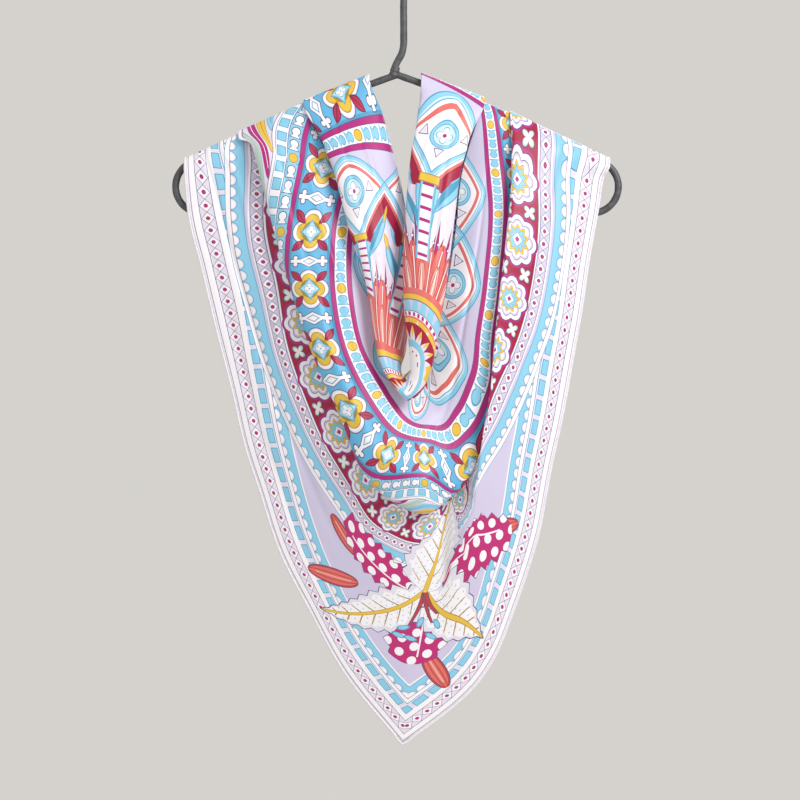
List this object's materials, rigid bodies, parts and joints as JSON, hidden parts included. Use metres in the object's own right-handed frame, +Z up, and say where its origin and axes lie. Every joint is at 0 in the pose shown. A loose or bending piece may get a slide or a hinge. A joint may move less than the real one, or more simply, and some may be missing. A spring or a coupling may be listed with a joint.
{
  "type": "silk square scarf on wire hanger",
  "caption": "Large printed silk square folded corner to corner and draped over a dark bent-iron hanger, its front corner hanging in a point below a cowl of soft folds.",
  "frame": {"origin": "top of the hook's inside, where it rests on a rail", "axes": "+Z up, +X to the viewer's right, -Y towards the viewer: the scarf's folds face -Y and its two side corners hang behind the arms at +Y"},
  "size_m": [0.3914, 0.1039, 0.709],
  "materials": {
    "printed_silk": "silk twill with a soft satin sheen, printed in white, lilac, blue, crimson, magenta, coral and yellow",
    "rolled_hem": "narrow hand-rolled hem",
    "wrought_iron": "dark, lightly hammered, low gloss"
  },
  "bodies": {
    "root": {"outer_stretch": "printed_silk", "middle_stretch": "printed_silk", "inner_roll": "printed_silk", "left_tail": "printed_silk", "right_tail": "printed_silk", "front_hem": "rolled_hem", "left_tail_hem": "rolled_hem", "right_tail_hem": "rolled_hem", "hook": "wrought_iron", "left_arm": "wrought_iron", "right_arm": "wrought_iron", "left_end": "wrought_iron", "right_end": "wrought_iron", "lower_bar": "wrought_iron"}
  },
  "joints": []
}
